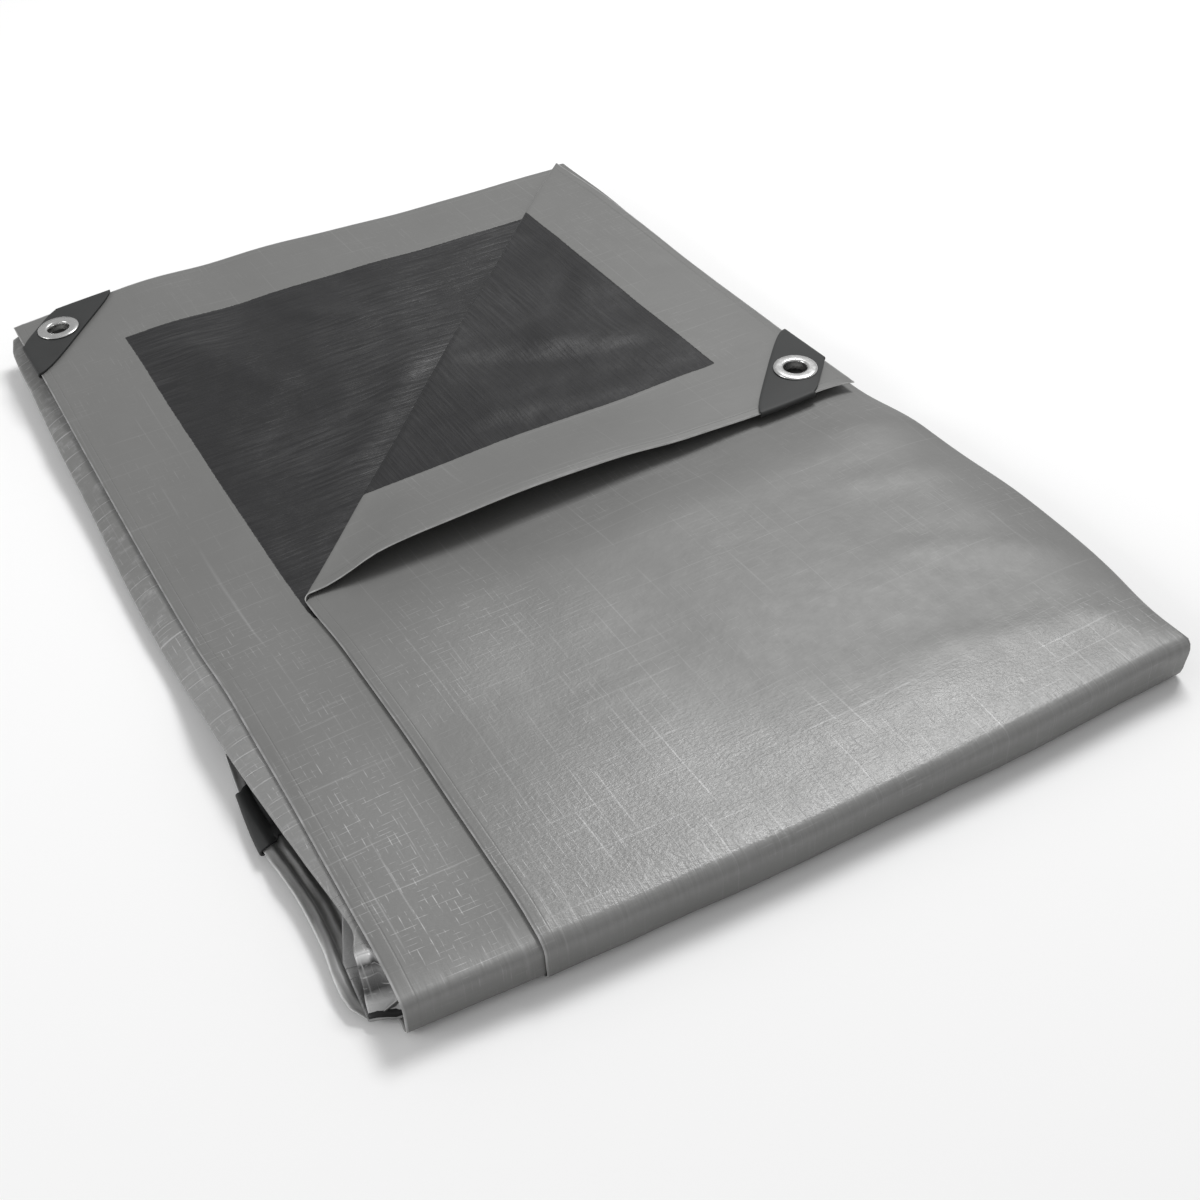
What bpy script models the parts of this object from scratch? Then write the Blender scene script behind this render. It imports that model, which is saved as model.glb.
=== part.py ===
"""Folded tarpaulin: a laminated sheet folded lengthwise and crosswise into a flat bundle.

The sheet lies folded crosswise (X) as three stacked hairpins and lengthwise (Y) as a roll of four
runs, sixteen layers in all. One corner of the top layer is turned back over a diagonal, and black
sleeves with aluminium eyelets sit on the hem corners. +X runs along the front fold, +Y to the free
end at the back, +Z up. The origin is at the middle of the bundle, on the surface it lies on.
"""

from math import cos, pi, sin

import bmesh
import bpy
from mathutils import Vector

MM = 0.001

# Driving sizes
SHEET = 1.0 * MM            # thickness of the sheet
PITCH = 1.35 * MM           # one layer to the next
GAP = 0.3 * MM              # clearance between separate pieces
BACK = 262.0 * MM           # free end of the top run
FRONT = -258.5 * MM         # middle surface of the bundle at its front fold
FRONT_TURN = 4.4 * MM       # corner radius of the big front fold
LAYERS = 4                  # layers in one run
SMALL_TURN = LAYERS * PITCH / 2
INNER_BACK = 246.0 * MM     # where the small back fold turns
INNER_FRONT = -248.0 * MM   # where the small front fold turns
INNER_END = -90.0 * MM      # hidden free end of the sheet
BOW = 14.0 * MM             # how far the left end of the front fold sits back
BOW_FROM = 141.0 * MM       # where the front fold starts to run back
BOW_REACH = 311.0 * MM
BOW_FULL = -240.0 * MM
BOW_FADE = -150.0 * MM
CENTRE = Vector((3.185, 5.155, 0.0)) * MM     # middle of the bundle

# The top run steps down behind the hidden free end
STEP_FROM = -82.0 * MM
STEP_TO = -32.0 * MM
STEP_DOWN = LAYERS * PITCH
LOOSE = 1 / 3               # how much further apart the layers lie at the back
LOOSE_FROM = 0.0
LOOSE_TO = 240.0 * MM

# The stack is puffed up towards its middle, as a share of its height above the bottom layer
PUFF = 0.17
PUFF_MIDDLE = (-20.0 * MM, 130.0 * MM)
PUFF_REACH = (190.0 * MM, 330.0 * MM)

# Corner turned back over a diagonal
FOLD_START = Vector((-119.0, -37.0)) * MM
FOLD_END = Vector((172.0, 262.0)) * MM
FOLD_TURN = 1.4 * MM
FOLD_CUTS = (0.0, 0.25, 0.5, 0.75, 1.0)     # shares of the half turn
FLAP_CUTS = (16.0, 45.0, 80.0, 120.0, 165.0)  # mm beyond the half turn
LIFT_REACH = 55.0 * MM
FLAP_EDGE = -35.0 * MM
FLAP_SKEW = Vector((1.5, -9.5)) * MM        # how far the turned tip is pulled aside
FLAP_REACH = 204.0 * MM
TIP_ROOM = 1.6 * MM
CORNER_ROOM = 3.2 * MM
ROOM_FULL = 64.0 * MM
ROOM_END = 118.0 * MM

# Hem strip of the hidden end that hangs out at the left
DROOP_FROM = -159.0 * MM
DROOP_WIDTH = 22.0 * MM
DROOP = 9.0 * MM
SUNK_FROM = -108.0 * MM
SUNK_TO = -116.5 * MM
SUNK_BACK = (-160.0 * MM, -151.0 * MM)

# Corner patches and eyelets
PATCH = 1.0 * MM
PATCH_NEAR = 24.0 * MM
PATCH_FAR = 60.0 * MM
EYELET_INSET = 20.5 * MM
BORE = 12.0 * MM
NECK = 14.0 * MM
FLANGE = 22.5 * MM
FLANGE_T = 1.0 * MM
HOLE = NECK + 2 * GAP

# Length stations along the runs, from back to front
TOP_STATIONS = (262, 240, 198, 142, 95, 40, -12, -30, -47, -64, -82, -110, -160, -210, -240)
LOW_STATIONS = (235, 160, 60, -30, -82, -130, -200)
END_STATIONS = (-232, -212, -160, -151, -112, -90)

# Shares of each layer's width at which it has a column of points
WIDTH_SHARES = {
    "A": (0.0, 0.065, 0.19, 0.216, 0.355, 0.58, 0.8, 1.0),
    "C": (0.0, 0.2, 0.42, 0.65, 0.81, 0.93, 1.0),
    "D": (0.0, 0.07, 0.19, 0.35, 0.58, 0.8, 1.0),
    "B": (0.0, 0.19, 0.38, 0.59, 0.781, 0.925, 1.0),
}

# Where each layer starts and turns across the bundle, in mm, row by row down the length
SPAN_COLUMNS = ("run", "y", "a_edge", "left", "inner", "outer", "b_edge")
SPANS = (
    (1, 262, -172, -175, 167, 174, -118),
    (1, 200, -171, -178, 169, 174, -118),
    (1, 100, -170, -179, 171, 176, -118),
    (1, 0, -169, -180, 173, 179, -118),
    (1, -70, -167, -178, 176, 183, -117),
    (1, -145, -166, -173, 180, 187, -115),
    (1, -200, -166, -168, 178, 185, -115),
    (1, -240, -166, -168, 171, 176, -115),
    (4, -240, -167, -173, 168, 173, -115),
    (4, -180, -160, -163, 168, 173, -104),
    (4, -82, -160, -163, 168, 175, -104),
    (4, 60, -166, -172, 168, 174, -112),
    (4, 235, -170, -174, 165, 170, -116),
    (3, 235, -168, -172, 165, 169, -116),
    (3, 60, -166, -173, 168, 173, -112),
    (3, -82, -158, -162, 168, 175, -104),
    (3, -180, -157, -161, 168, 173, -104),
    (3, -248, -157, -161, 166, 170, -104),
    (2, -248, -158, -161, 166, 170, -104),
    (2, -232, -176, -160, 167, 171, -104),
    (2, -212, -181, -160, 168, 172, -104),
    (2, -90, -181, -160, 168, 172, -104),
)

# Backward bulge of the free end, mm beyond BACK
BACK_ROWS = ((-172, 0), (-108, 8), (-20, 8), (40, 3), (100, 0), (190, 0))

# Height of the lifted free edge of the turned corner, mm
LIFT_ROWS = ((-125, 0), (-95, 6), (-60, 9), (-5, 9), (45, 7), (85, 3), (112, 0), (190, 0))


def smooth(share):
    """Ease from 0 to 1."""
    share = min(1.0, max(0.0, share))
    return share * share * (3 - 2 * share)


def table(rows, key):
    """Read a two-column table of mm at a length, straight between its rows."""
    key = max(key / MM, rows[0][0])
    for (low, first), (high, second) in zip(rows, rows[1:]):
        if key <= high:
            return (first + (second - first) * (key - low) / (high - low)) * MM
    return rows[-1][1] * MM


class Path:
    """A plane path of straight stretches and round turns, walked by its length."""

    def __init__(self, start, heading):
        self.ends = [(0.0, Vector(start), heading, 0.0)]

    def go(self, length, bend=0.0):
        """Add a stretch of a length that turns by an angle."""
        at, point, heading, _ = self.ends[-1]
        self.ends[-1] = (at, point, heading, bend / length)
        point, heading = self.walk(at + length)
        self.ends.append((at + length, point, heading, 0.0))
        return self

    def walk(self, length):
        """Point and heading at a length along the path."""
        at, point, heading, curl = [end for end in self.ends if end[0] <= length + 1e-12][-1]
        run = length - at
        if curl == 0.0:
            return point + Vector((cos(heading), sin(heading))) * run, heading
        after = heading + curl * run
        turn = Vector((sin(after) - sin(heading), cos(heading) - cos(after))) / curl
        return point + turn, after


def length_path():
    """The way the runs go, seen from the side: Y to the back and Z up."""
    low, mid, high = (SHEET / 2 + PITCH * (LAYERS * run + 1.5) for run in (0, 1, 3))
    quarter = FRONT_TURN * pi / 2
    path = Path((BACK, high), pi)
    path.go(BACK - FRONT - FRONT_TURN)
    path.go(quarter, pi / 2).go(high - low - 2 * FRONT_TURN).go(quarter, pi / 2)
    path.go(INNER_BACK - FRONT - FRONT_TURN)
    path.go(SMALL_TURN * pi, pi)
    path.go(INNER_BACK - INNER_FRONT)
    path.go(SMALL_TURN * pi, -pi)
    path.go(INNER_END - INNER_FRONT)
    return path


PATH = length_path()
RUN_STARTS = {1: PATH.ends[0][0], 4: PATH.ends[4][0], 3: PATH.ends[6][0], 2: PATH.ends[8][0]}


def length_at(run, y):
    """Length along the path of a place in a run."""
    start, point = next((end[0], end[1]) for end in PATH.ends if end[0] == RUN_STARTS[run])
    return start + abs(y - point.x)


def spans(length):
    """Where the layers start and turn across the bundle, at a length along the path."""
    rows = [(length_at(row[0], row[1] * MM), row[2:]) for row in SPANS]
    if length <= rows[0][0]:
        values = rows[0][1]
    elif length >= rows[-1][0]:
        values = rows[-1][1]
    else:
        pairs = zip(rows, rows[1:])
        (low, first), (high, second) = next(pair for pair in pairs if pair[1][0] >= length)
        share = smooth((length - low) / (high - low))
        values = [a + (b - a) * share for a, b in zip(first, second)]
    return dict(zip(SPAN_COLUMNS[2:], (value * MM for value in values)))


def section(span, layer, share):
    """Place across the bundle and offset in the run, of a share of a layer or turn."""
    flat = {
        "A": (span["a_edge"], span["inner"], 0.5),
        "C": (span["inner"], span["left"], -0.5),
        "D": (span["left"], span["outer"], -1.5),
        "B": (span["outer"], span["b_edge"], 1.5),
    }
    turns = {
        "AC": (span["inner"], 0.0, 0.5, 1),
        "CD": (span["left"], -1.0, 0.5, -1),
        "DB": (span["outer"], 0.0, -1.5, 1),
    }
    if layer in flat:
        start, end, offset = flat[layer]
        return start + (end - start) * share, offset * PITCH
    middle, offset, radius, side = turns[layer]
    angle = share * pi
    x = middle + side * abs(radius) * PITCH * sin(angle)
    return x, (offset + radius * cos(angle)) * PITCH


def step_share(y):
    """How far a place is past the slope behind the hidden end."""
    return smooth((y - STEP_FROM) / (STEP_TO - STEP_FROM))


def puffed(x, y, z):
    """Height of a point after the stack is loosened at the back and puffed up."""
    across = smooth(1 - abs(x - PUFF_MIDDLE[0]) / PUFF_REACH[0])
    along = smooth(1 - abs(y - PUFF_MIDDLE[1]) / PUFF_REACH[1])
    loose = LOOSE * smooth((y - LOOSE_FROM) / (LOOSE_TO - LOOSE_FROM))
    return z + (z - SHEET / 2) * (loose + PUFF * across * along)


def corner_room(along_side, along_end, room):
    """Room under a corner patch, at distances from the corner along both edges."""
    reach = max(along_side, along_end)
    return room * smooth((ROOM_END - reach) / (ROOM_END - ROOM_FULL))


def folded(length, layer, share):
    """Point of the folded sheet, before its top corner is turned back."""
    (y, z), heading = PATH.walk(length)
    span = spans(length)
    x, offset = section(span, layer, share)
    y += sin(heading) * offset
    z -= cos(heading) * offset
    top = length <= PATH.ends[1][0]
    if top:
        z -= STEP_DOWN * step_share(y)
        if layer != "B":
            y += table(BACK_ROWS, x) * smooth((y - BACK + 80 * MM) / (80 * MM))
    bow = (max(0.0, BOW_FROM - x) / BOW_REACH) ** 2
    y += BOW * bow * smooth((BOW_FADE - y) / (BOW_FADE - BOW_FULL))
    z = puffed(x, y, z)
    if top and layer == "A":
        z += corner_room(x - span["a_edge"], length, CORNER_ROOM)
    if length >= RUN_STARTS[2] and layer == "A":
        z -= DROOP * max(0.0, DROOP_FROM - x) / DROOP_WIDTH
        sunk = smooth((SUNK_FROM - x) / (SUNK_FROM - SUNK_TO))
        z -= PITCH * sunk * smooth((y - SUNK_BACK[0]) / (SUNK_BACK[1] - SUNK_BACK[0]))
    return Vector((x, y, z))


def top_height(x, y):
    """Middle height of the top layer."""
    z = SHEET / 2 + PITCH * (LAYERS * 4 - 1)
    z -= STEP_DOWN * step_share(y)
    return puffed(x, y, z)


FOLD_ALONG = (FOLD_END - FOLD_START).normalized()
FOLD_BEYOND = Vector((-FOLD_ALONG.y, FOLD_ALONG.x))


def turned(point):
    """Point of the top layer after its corner is turned back over the diagonal."""
    flat = Vector((point.x, point.y))
    beyond = (flat - FOLD_START).dot(FOLD_BEYOND)
    if beyond <= 1e-7:
        return point
    foot = flat - FOLD_BEYOND * beyond
    angle = min(pi, beyond / FOLD_TURN)
    past = beyond - FOLD_TURN * angle
    across = FOLD_TURN * sin(angle) - past
    flat = foot + FOLD_BEYOND * across + FLAP_SKEW * past / FLAP_REACH
    z = top_height(flat.x, flat.y) + FOLD_TURN * (1 - cos(angle))
    lift = table(LIFT_ROWS, flat.x) * smooth(1 - (flat.y - FLAP_EDGE) / LIFT_REACH)
    room = corner_room(point.x - spans(0.0)["b_edge"], BACK - point.y, TIP_ROOM)
    z += smooth(past / (25 * MM)) * lift + room
    return Vector((flat.x, flat.y, z))


def length_stations():
    """Lengths along the path at which the sheet has a row of points."""
    rows = [length_at(1, y * MM) for y in TOP_STATIONS]
    for turn, parts in ((1, 3), (2, 1), (3, 3)):
        start, end = PATH.ends[turn][0], PATH.ends[turn + 1][0]
        rows += [start + (end - start) * part / parts for part in range(parts)]
    rows += [PATH.ends[4][0]] + [length_at(4, y * MM) for y in reversed(LOW_STATIONS)]
    for turn, run in ((5, 3), (7, 2)):
        start, end = PATH.ends[turn][0], PATH.ends[turn + 1][0]
        rows += [start + (end - start) * part / 4 for part in range(5)]
        stations = LOW_STATIONS if run == 3 else END_STATIONS
        rows += [length_at(run, y * MM) for y in stations]
    return rows


def width_stations():
    """Layers, turns and shares of them at which the sheet has a column of points."""
    columns = []
    for layer, turn, parts in (("A", "AC", 4), ("C", "CD", 4), ("D", "DB", 6), ("B", None, 0)):
        columns += [(layer, share) for share in WIDTH_SHARES[layer]]
        columns += [(turn, part / parts) for part in range(1, parts)]
    return columns


def material(name, colour, rough, metal):
    """A plain Principled material."""
    made = bpy.data.materials.new(name)
    made.use_nodes = True
    shader = made.node_tree.nodes["Principled BSDF"]
    shader.inputs["Base Color"].default_value = (*colour, 1.0)
    shader.inputs["Roughness"].default_value = rough
    shader.inputs["Metallic"].default_value = metal
    return made


def add_object(name, mesh, finish, group):
    """Put a bmesh in an object of its own."""
    data = bpy.data.meshes.new(name)
    mesh.to_mesh(data)
    mesh.free()
    made = bpy.data.objects.new(name, data)
    group.objects.link(made)
    if finish:
        data.materials.append(finish)
    return made


def thicken(piece, thickness):
    """Give an open surface its thickness, half to each side."""
    shell = piece.modifiers.new("Thickness", "SOLIDIFY")
    shell.thickness = thickness
    shell.offset = 0.0
    shell.use_even_offset = True


def make_sheet(finish, group):
    """The whole sheet, folded, with its top corner turned back."""
    lengths = length_stations()
    widths = width_stations()
    mesh = bmesh.new()
    bmesh.ops.create_grid(mesh, x_segments=len(widths) - 1, y_segments=len(lengths) - 1, size=0.5)
    marks = mesh.verts.layers.int.new("top_layer")
    for vert in mesh.verts:
        column = round((vert.co.x + 0.5) * (len(widths) - 1))
        row = round((vert.co.y + 0.5) * (len(lengths) - 1))
        layer, share = widths[column]
        vert.co = folded(lengths[row], layer, share)
        vert[marks] = int(layer == "B" and lengths[row] <= PATH.ends[1][0])
    cuts = [share * pi * FOLD_TURN for share in FOLD_CUTS]
    cuts += [pi * FOLD_TURN + width * MM for width in FLAP_CUTS]
    for cut in cuts:
        top = [face for face in mesh.faces if all(vert[marks] for vert in face.verts)]
        edges = {edge for face in top for edge in face.edges}
        verts = {vert for face in top for vert in face.verts}
        place = FOLD_START + FOLD_BEYOND * cut
        made = bmesh.ops.bisect_plane(
            mesh,
            geom=[*top, *edges, *verts],
            dist=1e-6,
            plane_co=(*place, 0.0),
            plane_no=(*FOLD_BEYOND, 0.0),
        )
        for item in made["geom_cut"]:
            if isinstance(item, bmesh.types.BMVert):
                item[marks] = 1
    for vert in mesh.verts:
        if vert[marks]:
            vert.co = turned(vert.co)
        vert.co -= CENTRE
    bmesh.ops.triangulate(mesh, faces=mesh.faces)
    sheet = add_object("sheet", mesh, finish, group)
    thicken(sheet, SHEET)
    return sheet


def back_left_corner(along_side, along_end):
    """Sheet near the visible corner at the back left."""
    length = max(0.0, along_end)
    span = spans(length)
    point = folded(length, "A", along_side / (span["inner"] - span["a_edge"]))
    point.y -= along_end - length
    return point


def turned_corner(along_side, along_end):
    """Sheet near the corner that is turned back."""
    span = spans(0.0)
    x = span["b_edge"] + along_side
    y = BACK - along_end
    return turned(Vector((x, y, top_height(x, y))))


def hidden_end_corner(along_side, along_end):
    """Sheet near the corner whose hem hangs out at the left."""
    length = PATH.ends[-1][0] - max(0.0, along_end)
    span = spans(length)
    share = along_side / (span["inner"] - span["a_edge"])
    point = folded(length, "A", share)
    point.y -= along_end - max(0.0, along_end)
    return point


def corner_frame(corner, along_side, along_end):
    """Point of the sheet and its normal, near a corner."""
    step = 0.5 * MM
    point = corner(along_side, along_end)
    first = corner(along_side + step, along_end) - corner(along_side - step, along_end)
    second = corner(along_side, along_end + step) - corner(along_side, along_end - step)
    return point, first.cross(second).normalized()


def make_patch(name, corner, finish, group):
    """A sleeve round the hem corner, from edge to edge, leaving the tip bare."""
    plate, turn, across = 6, 4, 3
    kink = 2
    around = 2 * (plate + turn)
    offset = SHEET / 2 + GAP + PATCH / 2
    mesh = bmesh.new()
    bmesh.ops.create_grid(mesh, x_segments=around, y_segments=across, size=0.5)
    for vert in mesh.verts:
        step = round((vert.co.x + 0.5) * around) % around
        reach = PATCH_NEAR + (PATCH_FAR - PATCH_NEAR) * round((vert.co.y + 0.5) * across) / across
        half, step = divmod(step, plate + turn)
        side = 1 - 2 * half
        place = min(step, plate)
        place = plate - place if half else place
        along_side = DROOP_WIDTH * place / kink
        if place > kink:
            share = (place - kink) / (plate - kink)
            along_side = DROOP_WIDTH + (reach - DROOP_WIDTH) * share
        along_end = reach - along_side
        angle = max(0, step - plate) * pi / turn
        if place == 0:
            along_side = -offset * sin(angle)
        if place == plate:
            along_end = -offset * sin(angle)
        point, normal = corner_frame(corner, along_side, along_end)
        vert.co = point + normal * offset * cos(angle) * side - CENTRE
    bmesh.ops.remove_doubles(mesh, verts=mesh.verts, dist=1e-6)
    bmesh.ops.recalc_face_normals(mesh, faces=mesh.faces)
    bmesh.ops.triangulate(mesh, faces=mesh.faces)
    patch = add_object(name, mesh, finish, group)
    thicken(patch, PATCH)
    return patch


def make_eyelet(name, corner, finish, group):
    """A turned ring through the patch and the hem."""
    seat = SHEET / 2 + PATCH + 2 * GAP
    bead = FLANGE_T / 2
    top = seat + FLANGE_T
    rows = [
        (BORE / 2, 0.0),
        (BORE / 2, top - bead),
        (BORE / 2 + bead, top),
        (FLANGE / 2 - bead, top),
        (FLANGE / 2, seat + bead),
        (FLANGE / 2 - bead / 2, seat),
        (NECK / 2, seat),
        (NECK / 2, 0.0),
    ]
    outline = rows + [(radius, -height) for radius, height in reversed(rows[1:-1])]
    mesh = bmesh.new()
    verts = [mesh.verts.new((radius, 0.0, height)) for radius, height in outline]
    for first, second in zip(verts, verts[1:] + verts[:1]):
        mesh.edges.new((second, first))
    point, normal = corner_frame(corner, EYELET_INSET, EYELET_INSET)
    eyelet = add_object(name, mesh, finish, group)
    turn = eyelet.modifiers.new("Turned", "SCREW")
    turn.steps = turn.render_steps = 28
    turn.use_merge_vertices = True
    turn.merge_threshold = 0.00001
    turn.use_normal_calculate = True
    eyelet.rotation_euler = normal.to_track_quat("Z", "Y").to_euler()
    eyelet.location = point - CENTRE
    return eyelet


def cut_hole(corner, pieces, group):
    """A round hole through the patch and the hem, clear of the layers under them."""
    point, normal = corner_frame(corner, EYELET_INSET, EYELET_INSET)
    mesh = bmesh.new()
    bmesh.ops.create_cone(
        mesh, cap_ends=True, segments=24, radius1=HOLE / 2, radius2=HOLE / 2, depth=5.0 * MM
    )
    cutter = add_object("hole_cutter", mesh, None, group)
    cutter.rotation_euler = normal.to_track_quat("Z", "Y").to_euler()
    cutter.location = point - CENTRE
    cutter.hide_render = True
    cutter.display_type = "WIRE"
    for piece in pieces:
        cut = piece.modifiers.new("Eyelet hole", "BOOLEAN")
        cut.operation = "DIFFERENCE"
        cut.object = cutter


def main():
    """Make the folded tarp."""
    for old in list(bpy.data.objects):
        bpy.data.objects.remove(old)
    group = bpy.data.collections.new("folded_tarp")
    cutters = bpy.data.collections.new("cutters")
    bpy.context.scene.collection.children.link(group)
    bpy.context.scene.collection.children.link(cutters)
    silver = material("silver_sheet", (0.21, 0.21, 0.205), 0.42, 0.25)
    black = material("black_patch", (0.045, 0.045, 0.05), 0.6, 0.0)
    metal = material("aluminium", (0.8, 0.8, 0.82), 0.3, 1.0)
    sheet = make_sheet(silver, group)
    corners = (("left", back_left_corner), ("right", turned_corner))
    for side, corner in corners:
        patch = make_patch("patch_" + side, corner, black, group)
        make_eyelet("eyelet_" + side, corner, metal, group)
        cut_hole(corner, (sheet, patch), cutters)
    make_patch("patch_lower", hidden_end_corner, black, group)


main()
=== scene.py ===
"""Looks of the folded tarp: the sheet on its folds, the corner patches and the eyelets.

Lengths are in millimetres until a point goes into a mesh. +X runs along the front fold, +Y to the
free end at the back, +Z up, with the origin in the middle of the bundle on the floor.
"""

from math import cos, exp, pi, radians, sin

import bmesh
import bpy
from mathutils import Matrix, Vector
from mathutils.noise import noise


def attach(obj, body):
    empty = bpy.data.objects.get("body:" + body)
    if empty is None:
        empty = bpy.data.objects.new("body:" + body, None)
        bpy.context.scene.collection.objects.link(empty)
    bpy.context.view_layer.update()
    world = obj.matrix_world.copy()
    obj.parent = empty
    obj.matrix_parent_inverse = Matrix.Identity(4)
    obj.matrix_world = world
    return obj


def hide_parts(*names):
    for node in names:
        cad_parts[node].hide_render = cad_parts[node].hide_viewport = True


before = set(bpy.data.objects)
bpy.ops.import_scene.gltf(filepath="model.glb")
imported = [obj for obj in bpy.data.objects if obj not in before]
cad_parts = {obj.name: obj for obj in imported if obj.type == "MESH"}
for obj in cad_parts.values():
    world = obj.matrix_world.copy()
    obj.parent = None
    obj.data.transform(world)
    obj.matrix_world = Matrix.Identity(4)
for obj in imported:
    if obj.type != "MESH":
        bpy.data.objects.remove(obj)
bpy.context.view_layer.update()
MM = 0.001

# The fold, as the solids have it
SHEET = 0.45                # laminate
HALF = 0.5                  # half the solid sheet's thickness
PITCH = 1.35                # one layer to the next
GAP = 0.3                   # clearance between separate pieces
BACK = 262.0                # free end of the top run
FRONT = -258.5              # middle surface of the bundle at its front fold
FRONT_TURN = 3.0            # corner radius of the front fold
LAYERS = 4                  # layers in one run
RUNS = 4                    # runs above each other
SMALL_TURN = LAYERS * PITCH / 2
INNER_BACK = 246.0          # where the small back fold turns
INNER_FRONT = -248.0        # where the small front fold turns
INNER_END = -90.0           # hidden free end of the sheet
BOW = 14.0                  # how far the left end of the front fold sits back
BOW_FROM = 141.0            # where the front fold starts to run back
BOW_REACH = 311.0
BOW_FULL = -240.0
BOW_FADE = -150.0
CENTRE = Vector((3.185, 5.155, 0.0))    # middle of the bundle
STEP = (-82.0, -32.0)       # slope behind the hidden end
STEP_DOWN = LAYERS * PITCH
LOOSE = 1 / 3               # how much further apart the layers lie at the back
LOOSE_FROM = 0.0
LOOSE_TO = 240.0
PUFF = 0.17                 # how much the stack swells in its middle
PUFF_MIDDLE = (-20.0, 130.0)
PUFF_REACH = (190.0, 330.0)
HEM = 49.0
HIDDEN_HEM = -100.0         # up to here the front of the hem is hidden under the top layer
HEM_WIDER = 0.16            # share by which that hidden front part is wider
HEM_REACH = 25.0
INNER_SIDE = 300.0          # distance from a side edge, for layers that have none
TURN_RIPPLE = (0.6, 17.0)   # height and length of the ripples of the front fold
TURN_WAVE = (0.8, 60.0)

# Corner turned back over a diagonal
FOLD_START = Vector((-119.0, -37.0))
FOLD_END = Vector((172.0, 262.0))
FOLD_TURN = 1.3             # radius of the turn
FOLD_ALONG = (FOLD_END - FOLD_START).normalized()
FOLD_BEYOND = Vector((-FOLD_ALONG.y, FOLD_ALONG.x))
FOLD_CUTS = (-2.0, 0.0, 0.7, 1.6, 2.5, 3.4, 4.1, 6.0, 9.0)      # rows of points beyond the diagonal
LIFT_REACH = 60.0
FLAP_EDGE = -35.0
FLAP_SKEW = Vector((1.5, -9.5))         # how far the turned tip is pulled aside
FLAP_REACH = 204.0
FLAP_CLEAR = 25.0           # beyond the turn, where the flap lies free
FLAP_RISE = (0.8, 60.0)     # height it gains, and over what reach
ROOM_FULL = 64.0            # room under a corner patch
ROOM_END = 118.0
TIP_ROOM = 1.6
CORNER_ROOM = 3.2

# Left band of the folded middle layers
BAND_FROM = -165.0
BAND_DROOP = 4.5
BAND_WIDTH = 15.0
BAND_MARK = -150.0          # left of here the finish shows the band
BAND_RIPPLE = 0.7
TUCK_FROM = -156.0          # the band's front end is tucked behind the front fold
TUCK_WIDTH = 11.0
TUCK = (28.0, 5.0)          # at the top and at the floor
TUCK_SPLAY = 0.4
TUCK_SPLAY_FROM = -168.0
TUCK_START = -190.0
TUCK_REACH = 62.0
CRUMPLE_FROM = -195.0
CRUMPLE_REACH = 15.0
CRUMPLE_SIZE = 6.5
CRUMPLE = (1.3, 0.8)        # along the bundle and upwards
TUCK_FLOOR = 0.6            # lowest middle surface of the band

# Hem strip of the hidden end that hangs out at the left: distance out, height
STRIP_ROWS = (
    (0, 0),
    (3, -3.5),
    (6, -9),
    (9, -10.2),
    (14, -8.8),
    (19, -6.8),
    (22.5, -5.4),
    (24, -6.2),
)
STRIP_FROM = -158.0
STRIP_PLEATS = (4.6, 0.9)   # spacing and height of the lengthwise pleats
STRIP_GATHER = (-190.0, 40.0, 2.2)      # from where, reach, and drop of the gathered front end
STRIP_WIDTH = 24.0
STRIP_BOW = (0.45, 14.0)    # share of the front fold's bow that the strip leaves out, and reach
PATCH_FLOOR = (-178.0, 15.0, 1.9)       # from where, reach, and room under the strip for its patch
SUNK = (-108.0, -116.5)
SUNK_BACK = (-160.0, -151.0)

# Right side, where the top run rolls down
ROLL_FROM = 152.0
ROLL_WIDTH = 34.0
ROLL_DOWN = 5.0
ROLL_FRONT = (-275.0, 60.0)             # start, and reach to where it is full
ROLL_BACK = (200.0, 60.0)               # end, and place up to which it is full

# Left edge of the top layer, which stands a little off the layer below
EDGE_LIFT = 0.35
EDGE_LIFT_REACH = 22.0

# Patches and eyelets
PATCH = 0.9
PATCH_NEAR = 23.0
PATCH_FAR = 60.0
EYELET_INSET = 20.5
BORE = 12.0
NECK = 14.0                 # outside of the eyelet's barrel
FLANGE = 22.5
FLANGE_ROUND = 2.25         # rounding of the flange's rim
HOLE = 7.2                  # radius of the hole through patch and hem

# Looks
TAPE = (2.8, 2.5)           # width of the woven tapes
FOIL_LIGHT_AND_SHADE = (              # painted light and shade down the crumpled end of the middle layers
    (0.0, 0.30),
    (0.10, 0.62),
    (0.20, 0.05),
    (0.28, 0.26),
    (0.5, 0.07),
    (0.68, 0.55),
    (1.0, 0.36),
)
WORLD_LIGHT = 0.45

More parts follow.
